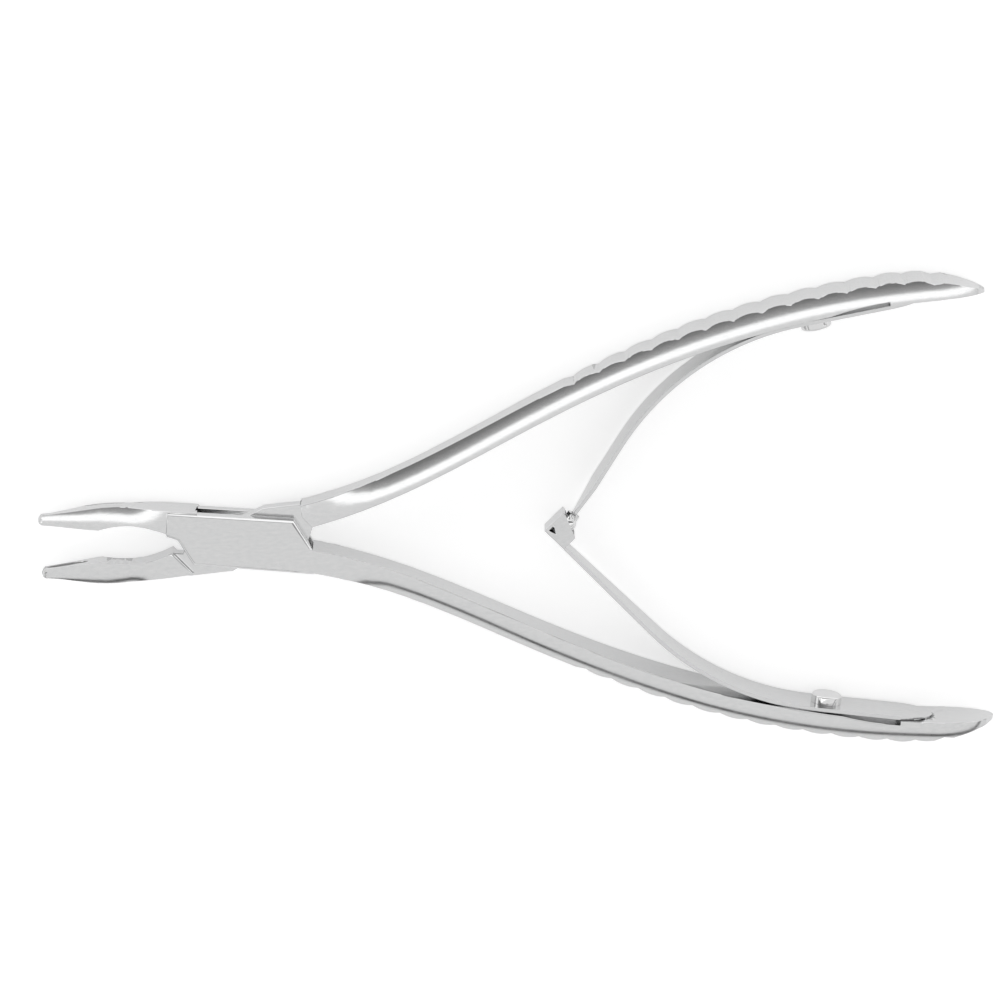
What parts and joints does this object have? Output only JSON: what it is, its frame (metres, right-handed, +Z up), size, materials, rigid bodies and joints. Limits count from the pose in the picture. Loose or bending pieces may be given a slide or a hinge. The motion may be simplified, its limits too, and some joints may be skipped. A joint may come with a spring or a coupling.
{
  "type": "bone rongeur",
  "caption": "Hand rongeur with crossed halves in a box joint, fine cupped jaws, serrated bowed handles and two leaf springs that meet in a ball and cup.",
  "frame": {"origin": "centre of the footprint at rest, on the surface that the grips lie on", "axes": "+X from the jaws to the handle ends, +Y towards the upper handle in the plane of opening, +Z up, along the pivot"},
  "size_m": [0.1405, 0.0702, 0.0085],
  "materials": {
    "forged_steel": "satin",
    "spring_steel": "satin",
    "polished_steel": "polished"
  },
  "bodies": {
    "box_side": {"box_half": "forged_steel", "pivot_pin": "forged_steel", "lower_spring_screw": "polished_steel"},
    "tang_side": {"tang_half": "forged_steel", "upper_spring_screw": "polished_steel"},
    "upper_leaf": {"upper_leaf_spring": "spring_steel", "spring_ball": "polished_steel"},
    "lower_leaf": {"lower_leaf_spring": "spring_steel", "spring_socket": "spring_steel"}
  },
  "joints": [
    {"name": "jaw_pivot", "type": "hinge", "parent": "box_side", "child": "tang_side", "pos_m": [-0.03929, 0, 0.00425], "axis": [0, 0, 1], "range_deg": [-12.4, 0], "stiffness_Nm_per_rad": 2, "springref_deg": 5.73},
    {"name": "upper_leaf_flex", "type": "hinge", "parent": "tang_side", "child": "upper_leaf", "pos_m": [0.03621, 0.0276, 0.00425], "axis": [0, 0, 1], "range_deg": [-9.2, 0], "deforming": ["upper_leaf_spring"]},
    {"name": "lower_leaf_flex", "type": "hinge", "parent": "box_side", "child": "lower_leaf", "pos_m": [0.03621, -0.0276, 0.00425], "axis": [0, 0, 1], "range_deg": [0, 9.2], "deforming": ["lower_leaf_spring"]}
  ],
  "couplings": [
    {"joint": "upper_leaf_flex", "follows": "jaw_pivot", "ratio": 0.7199},
    {"joint": "lower_leaf_flex", "follows": "jaw_pivot", "ratio": -0.7199}
  ]
}
